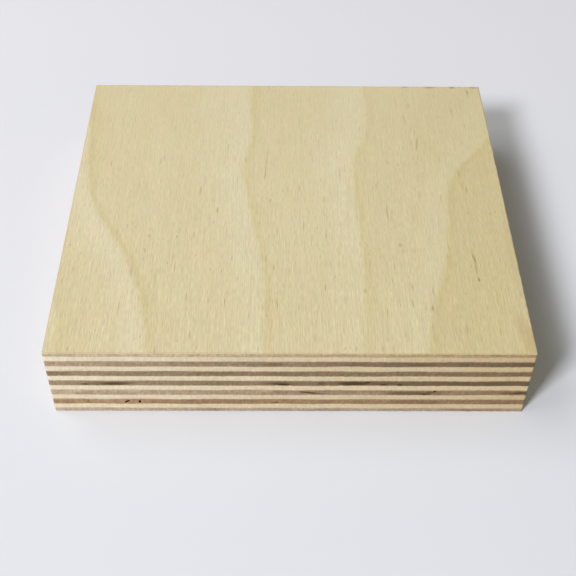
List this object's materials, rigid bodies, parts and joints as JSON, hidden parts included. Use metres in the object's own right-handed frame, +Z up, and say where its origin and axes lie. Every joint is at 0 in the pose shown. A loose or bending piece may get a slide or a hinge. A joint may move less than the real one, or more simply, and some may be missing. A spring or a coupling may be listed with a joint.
{
  "type": "plywood panel offcut",
  "caption": "Flat rectangular offcut of birch plywood: cross-laminated veneers glued in a pack, sanded on both faces and sawn on the edges, for cutting, joining or sampling.",
  "frame": {"origin": "centre of the underside", "axes": "+X along the front edge, across the face grain; +Y back along the face grain; +Z up out of the face"},
  "size_m": [0.094, 0.086, 0.018],
  "materials": {
    "face_veneer": "sanded bare birch, pale yellow, with faint growth-ring bands and fine dark flecks along the grain",
    "cross_ply": "sawn birch side grain, cream",
    "long_ply": "sawn birch end grain, grey brown, uneven from ply to ply"
  },
  "bodies": {
    "root": {"face_veneer": "face_veneer", "cross_ply_02": "cross_ply", "long_ply_03": "long_ply", "cross_ply_04": "cross_ply", "long_ply_05": "long_ply", "cross_ply_06": "cross_ply", "long_ply_07": "long_ply", "cross_ply_08": "cross_ply", "long_ply_09": "long_ply", "cross_ply_10": "cross_ply", "long_ply_11": "long_ply", "cross_ply_12": "cross_ply", "back_veneer": "face_veneer"}
  },
  "joints": []
}
